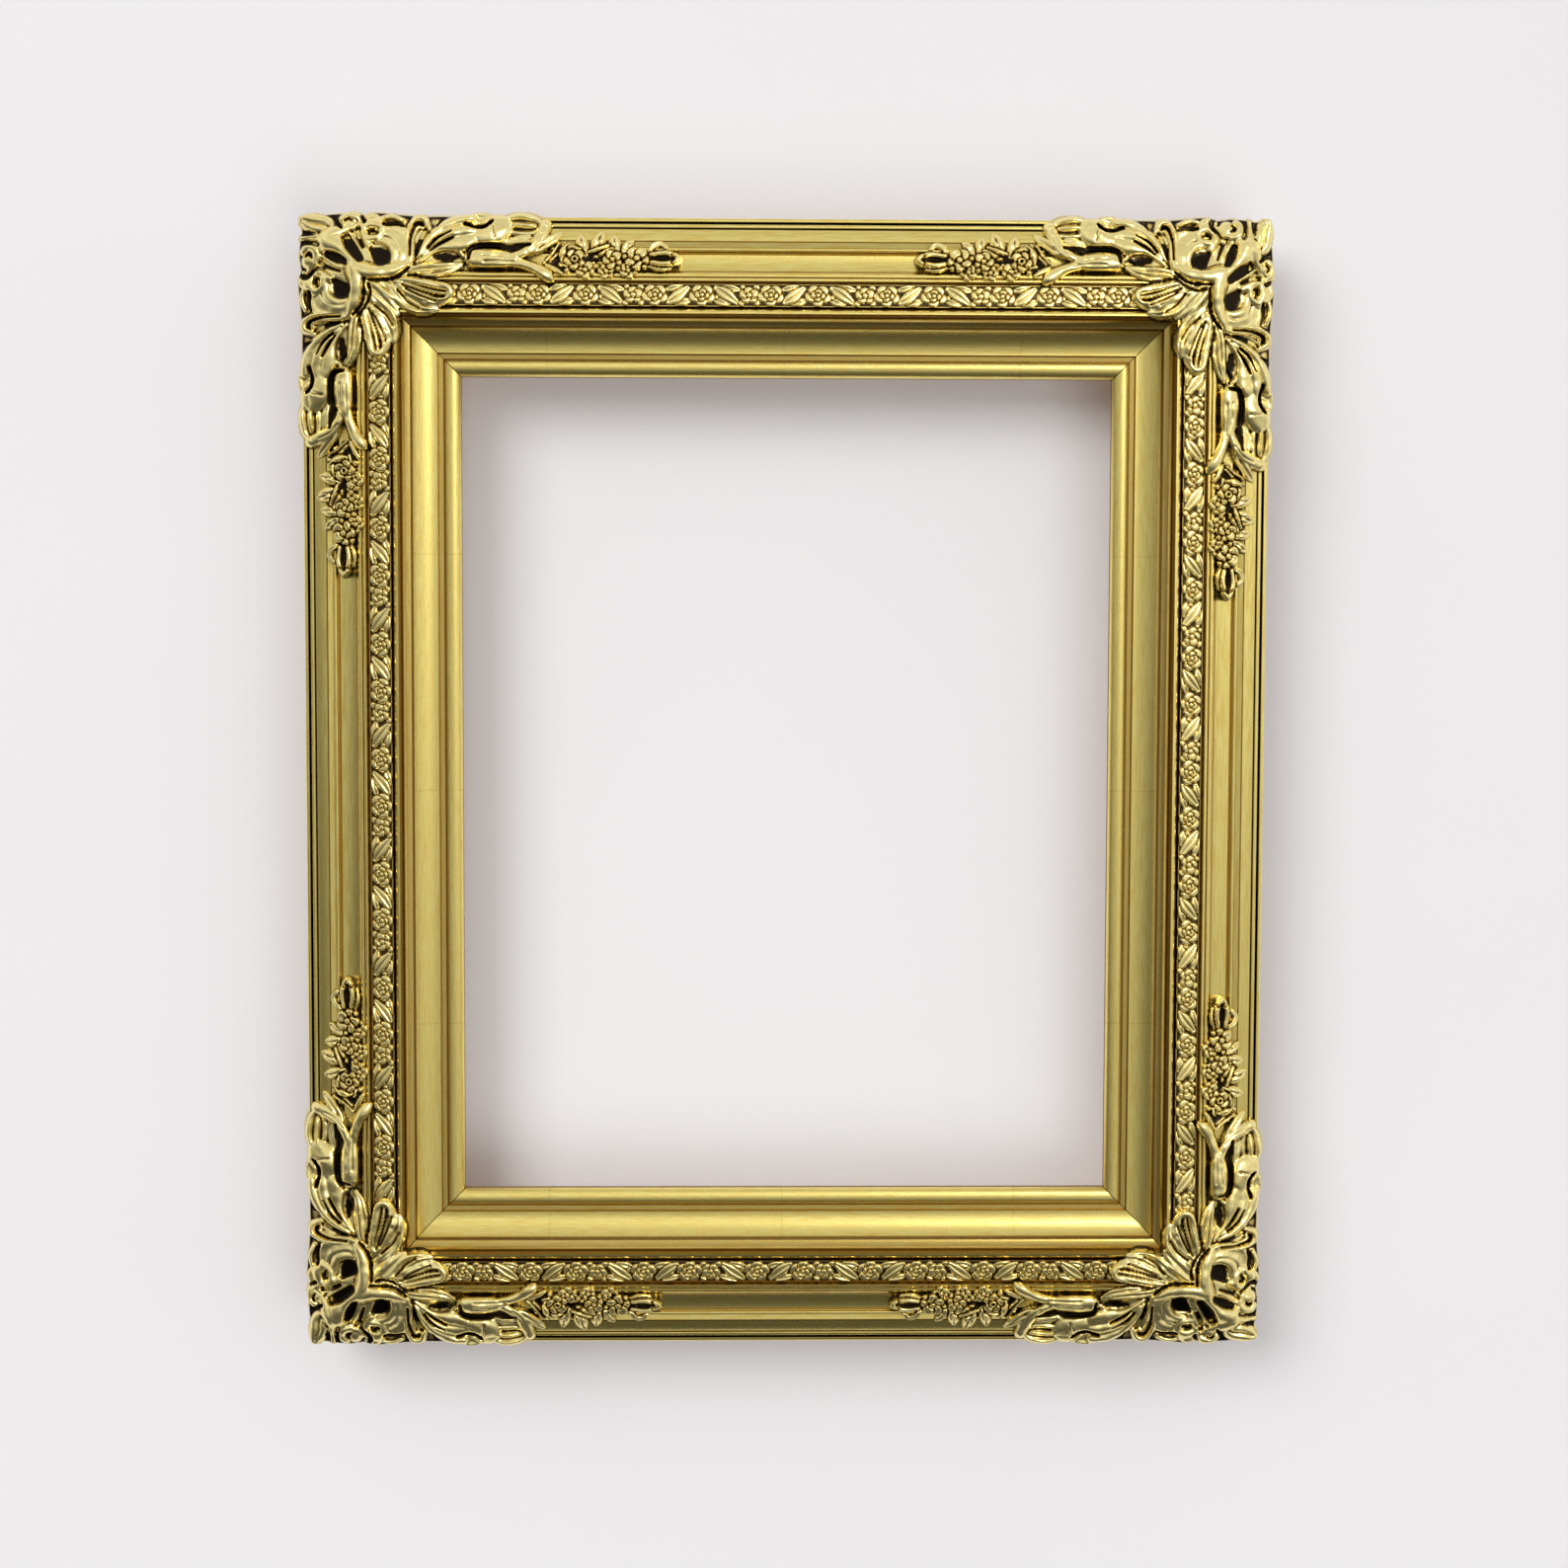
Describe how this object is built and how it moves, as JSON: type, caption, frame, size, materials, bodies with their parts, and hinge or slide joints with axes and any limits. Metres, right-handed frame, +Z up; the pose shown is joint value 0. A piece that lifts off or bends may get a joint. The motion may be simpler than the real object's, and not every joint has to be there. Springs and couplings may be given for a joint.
{
  "type": "picture frame",
  "caption": "Ornate gilded picture frame with pierced corner ornaments, flower sprays, rose bands, an inner liner, swinging hanger rings and turn buttons on the back.",
  "frame": {"origin": "centre of the picture opening, on the back plane of the rails", "axes": "+X to the right seen from the front, +Y out of the back towards the wall, +Z up"},
  "size_m": [0.587, 0.0534, 0.6886],
  "materials": {
    "gilded_moulding": "gilded, with dark patina in the grooves",
    "gold_leaf_liner": "satin gold leaf",
    "gilded_casting": "gilded casting with dark patina in the hollows",
    "steel": "zinc plated",
    "rubber": "matte"
  },
  "bodies": {
    "frame": {"top_rail": "gilded_moulding", "top_liner": "gold_leaf_liner", "top_rose_band": "gilded_casting", "right_rail": "gilded_moulding", "right_liner": "gold_leaf_liner", "right_rose_band": "gilded_casting", "bottom_rail": "gilded_moulding", "bottom_liner": "gold_leaf_liner", "bottom_rose_band": "gilded_casting", "left_rail": "gilded_moulding", "left_liner": "gold_leaf_liner", "left_rose_band": "gilded_casting", "corner_ornament_top_left": "gilded_casting", "corner_ornament_top_right": "gilded_casting", "corner_ornament_bottom_right": "gilded_casting", "corner_ornament_bottom_left": "gilded_casting", "flower_spray_top_left": "gilded_casting", "flower_spray_top_right": "gilded_casting", "flower_spray_right_upper": "gilded_casting", "flower_spray_right_lower": "gilded_casting", "flower_spray_bottom_right": "gilded_casting", "flower_spray_bottom_left": "gilded_casting", "flower_spray_left_lower": "gilded_casting", "flower_spray_left_upper": "gilded_casting", "rail_v_nails": "steel", "liner_v_nails": "steel", "liner_points": "steel", "hanger_screws": "steel", "turn_button_screws": "steel", "hanger_strap_left": "steel", "hanger_strap_right": "steel", "wall_bumper_left": "rubber", "wall_bumper_right": "rubber"},
    "hanger_ring_left": {"hanger_ring_left": "steel"},
    "hanger_ring_right": {"hanger_ring_right": "steel"},
    "turn_button_top": {"turn_button_top": "steel"},
    "turn_button_right_upper": {"turn_button_right_upper": "steel"},
    "turn_button_right_lower": {"turn_button_right_lower": "steel"},
    "turn_button_bottom": {"turn_button_bottom": "steel"},
    "turn_button_left_lower": {"turn_button_left_lower": "steel"},
    "turn_button_left_upper": {"turn_button_left_upper": "steel"}
  },
  "joints": [
    {"name": "hanger_ring_left_swing", "type": "hinge", "parent": "frame", "child": "hanger_ring_left", "pos_m": [-0.2617, 0.00218, 0.1275], "axis": [-1, 0, 0], "range_deg": [0, 178]},
    {"name": "hanger_ring_right_swing", "type": "hinge", "parent": "frame", "child": "hanger_ring_right", "pos_m": [0.2617, 0.00218, 0.1275], "axis": [-1, 0, 0], "range_deg": [0, 178]},
    {"name": "turn_button_top_turn", "type": "hinge", "parent": "frame", "child": "turn_button_top", "pos_m": [0, -0.0034, 0.2676], "axis": [0, 1, 0], "range_deg": [-30, 210]},
    {"name": "turn_button_right_upper_turn", "type": "hinge", "parent": "frame", "child": "turn_button_right_upper", "pos_m": [0.2168, -0.0034, 0.125], "axis": [0, 1, 0], "range_deg": [-30, 210]},
    {"name": "turn_button_right_lower_turn", "type": "hinge", "parent": "frame", "child": "turn_button_right_lower", "pos_m": [0.2168, -0.0034, -0.125], "axis": [0, 1, 0], "range_deg": [-30, 210]},
    {"name": "turn_button_bottom_turn", "type": "hinge", "parent": "frame", "child": "turn_button_bottom", "pos_m": [0, -0.0034, -0.2676], "axis": [0, 1, 0], "range_deg": [-30, 210]},
    {"name": "turn_button_left_lower_turn", "type": "hinge", "parent": "frame", "child": "turn_button_left_lower", "pos_m": [-0.2168, -0.0034, -0.125], "axis": [0, -1, 0], "range_deg": [-30, 210]},
    {"name": "turn_button_left_upper_turn", "type": "hinge", "parent": "frame", "child": "turn_button_left_upper", "pos_m": [-0.2168, -0.0034, 0.125], "axis": [0, -1, 0], "range_deg": [-30, 210]}
  ]
}
